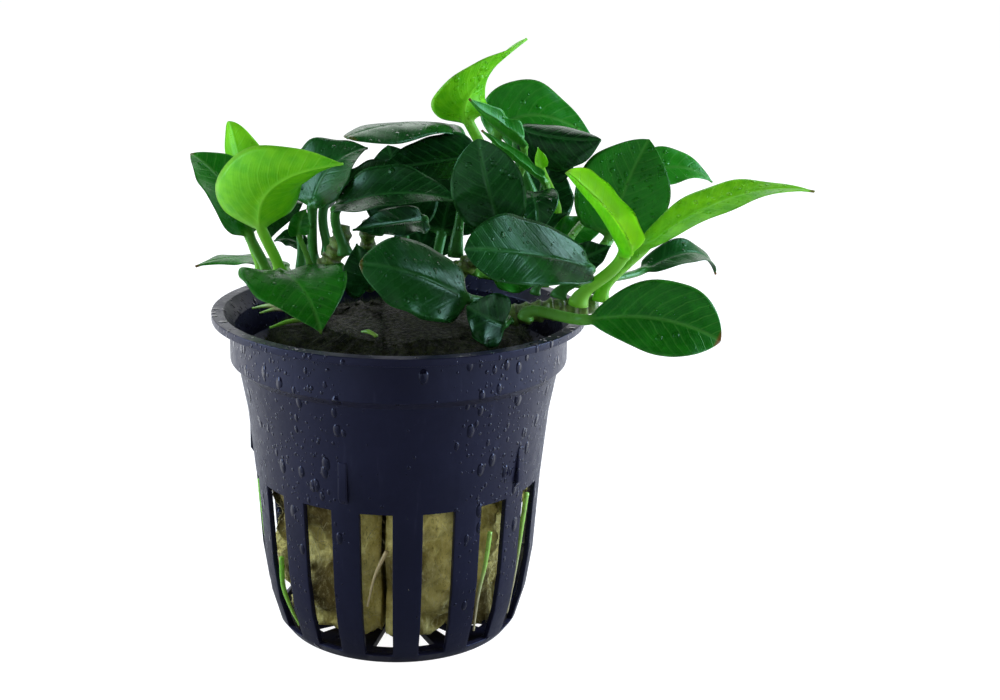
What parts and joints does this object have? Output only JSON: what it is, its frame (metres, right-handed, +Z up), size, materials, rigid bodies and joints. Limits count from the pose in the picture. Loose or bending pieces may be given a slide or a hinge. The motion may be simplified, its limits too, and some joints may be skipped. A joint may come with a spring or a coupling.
{
  "type": "potted anubias nana",
  "caption": "Small broad-leaved aquarium plant on creeping stems, rooted in rock wool in a slotted round plastic net pot that stands on its flat base.",
  "frame": {"origin": "centre of the pot's base, on the surface it stands on", "axes": "+Z up along the pot's axis, +X to the side where the longest leaf reaches out past the rim, -Y to the plant's front"},
  "size_m": [0.0907, 0.055, 0.0881],
  "materials": {
    "pot_plastic": "black plastic, half gloss, wet",
    "rock_wool": "fibrous, damp, stained brown and green",
    "rhizome": "fleshy, dull green and brown",
    "root": "smooth, pale green",
    "leaf_lime": "young leaf, waxy and wet",
    "leaf_green": "mid green leaf, glossy and wet",
    "leaf_dark": "old leaf, very dark green, glossy and wet"
  },
  "bodies": {
    "root": {"leaf_back_left": "leaf_dark", "leaf_back_low_middle": "leaf_dark", "leaf_back_low_right": "leaf_green", "leaf_back_middle": "leaf_dark", "leaf_back_right": "leaf_dark", "leaf_centre_back": "leaf_dark", "leaf_centre_glossy": "leaf_dark", "leaf_centre_large": "leaf_dark", "leaf_centre_shade": "leaf_dark", "leaf_front_centre": "leaf_dark", "leaf_front_dark": "leaf_dark", "leaf_front_left": "leaf_green", "leaf_inner_shade": "leaf_dark", "leaf_left_heart": "leaf_green", "leaf_left_inner": "leaf_dark", "leaf_left_large": "leaf_dark", "leaf_left_lime": "leaf_lime", "leaf_left_low": "leaf_green", "leaf_left_small": "leaf_dark", "leaf_left_tall": "leaf_green", "leaf_left_young": "leaf_lime", "leaf_middle_long": "leaf_dark", "leaf_middle_low": "leaf_dark", "leaf_pot_inner": "leaf_dark", "leaf_right_back": "leaf_green", "leaf_right_front": "leaf_dark", "leaf_right_lime": "leaf_lime", "leaf_right_long": "leaf_lime", "leaf_right_low_back": "leaf_dark", "leaf_right_low_front": "leaf_green", "leaf_right_olive": "leaf_green", "leaf_right_round": "leaf_green", "leaf_right_shade": "leaf_dark", "leaf_top_curled": "leaf_dark", "leaf_top_dark": "leaf_dark", "leaf_top_folded": "leaf_green", "leaf_top_lime": "leaf_lime", "leaf_top_spear": "leaf_green", "leaf_top_tiny": "leaf_lime", "leaf_top_wide": "leaf_green", "net_pot": "pot_plastic", "rhizome_back": "rhizome", "rhizome_left": "rhizome", "rhizome_middle": "rhizome", "rhizome_right": "rhizome", "rock_wool_left": "rock_wool", "rock_wool_right": "rock_wool", "root_slot_front": "root", "root_slot_left": "root", "root_slot_left_edge": "root", "root_slot_right": "root", "root_slot_right_edge": "root", "root_top_1": "root", "root_top_2": "root", "root_top_3": "root", "root_top_4": "root"}
  },
  "joints": []
}
